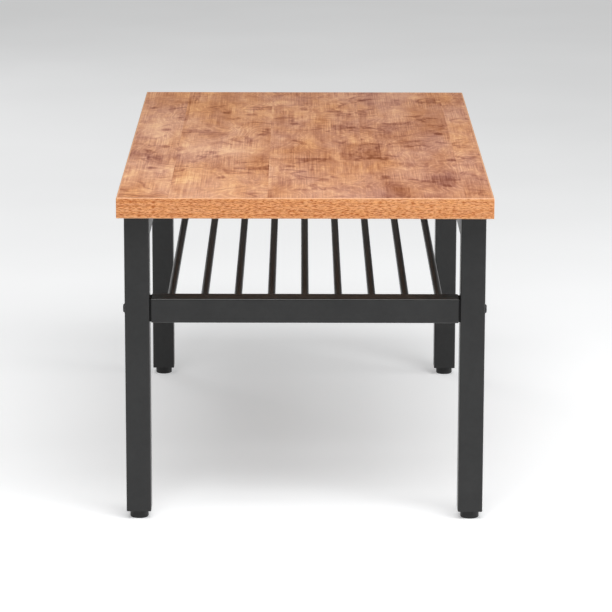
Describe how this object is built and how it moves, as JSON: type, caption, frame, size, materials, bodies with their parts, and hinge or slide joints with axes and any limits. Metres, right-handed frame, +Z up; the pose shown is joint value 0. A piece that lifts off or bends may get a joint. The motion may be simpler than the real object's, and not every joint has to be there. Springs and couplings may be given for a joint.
{
  "type": "coffee table",
  "caption": "Low rectangular coffee table: a laminated wood-pattern board on a square steel tube frame, with a wire shelf between the legs and screw-in levelling feet.",
  "frame": {"origin": "on the floor, under the middle of the table", "axes": "+Z up, +Y along the table's length from its front end to its back end, +X across it to the right as seen from the front end"},
  "size_m": [0.45, 0.8, 0.403],
  "materials": {
    "printed_laminate": "satin melamine laminate with a printed wood pattern",
    "edge_band": "satin plastic edge band with a printed oak grain",
    "particle_board": "raw pressed wood chips",
    "backing_sheet": "matt brown backing paper",
    "powder_coat": "satin black powder coat",
    "plug_plastic": "deep black polyethylene, moulded matt",
    "pad_plastic": "black polypropylene, moulded with a fine texture",
    "black_zinc": "satin black zinc plating",
    "zinc": "bright zinc plating"
  },
  "bodies": {
    "table": {"top_laminate": "printed_laminate", "edge_band_front": "edge_band", "edge_band_back": "edge_band", "edge_band_left": "edge_band", "edge_band_right": "edge_band", "top_core": "particle_board", "top_backing": "backing_sheet", "leg_front_left": "powder_coat", "leg_front_right": "powder_coat", "leg_back_left": "powder_coat", "leg_back_right": "powder_coat", "apron_rail_left": "powder_coat", "apron_rail_right": "powder_coat", "shelf_rail_front": "powder_coat", "shelf_rail_back": "powder_coat", "shelf_rod_1": "powder_coat", "shelf_rod_2": "powder_coat", "shelf_rod_3": "powder_coat", "shelf_rod_4": "powder_coat", "shelf_rod_5": "powder_coat", "shelf_rod_6": "powder_coat", "shelf_rod_7": "powder_coat", "shelf_rod_8": "powder_coat", "shelf_rod_9": "powder_coat", "shelf_plug_front_left": "plug_plastic", "shelf_plug_front_right": "plug_plastic", "shelf_plug_back_left": "plug_plastic", "shelf_plug_back_right": "plug_plastic", "leg_plug_front_left": "plug_plastic", "leg_plug_front_right": "plug_plastic", "leg_plug_back_left": "plug_plastic", "leg_plug_back_right": "plug_plastic", "shelf_bolts": "black_zinc", "top_screws": "zinc", "top_inserts": "zinc", "shelf_plug_nuts": "zinc", "leg_plug_nuts": "zinc"},
    "foot_front_left": {"foot_pad_front_left": "pad_plastic", "foot_stud_front_left": "zinc"},
    "foot_front_right": {"foot_pad_front_right": "pad_plastic", "foot_stud_front_right": "zinc"},
    "foot_back_left": {"foot_pad_back_left": "pad_plastic", "foot_stud_back_left": "zinc"},
    "foot_back_right": {"foot_pad_back_right": "pad_plastic", "foot_stud_back_right": "zinc"}
  },
  "joints": [
    {"name": "foot_front_left_height", "type": "slide", "parent": "table", "child": "foot_front_left", "axis": [0, 0, -1], "range_m": [0, 0.008]},
    {"name": "foot_front_right_height", "type": "slide", "parent": "table", "child": "foot_front_right", "axis": [0, 0, -1], "range_m": [0, 0.008]},
    {"name": "foot_back_left_height", "type": "slide", "parent": "table", "child": "foot_back_left", "axis": [0, 0, -1], "range_m": [0, 0.008]},
    {"name": "foot_back_right_height", "type": "slide", "parent": "table", "child": "foot_back_right", "axis": [0, 0, -1], "range_m": [0, 0.008]}
  ]
}
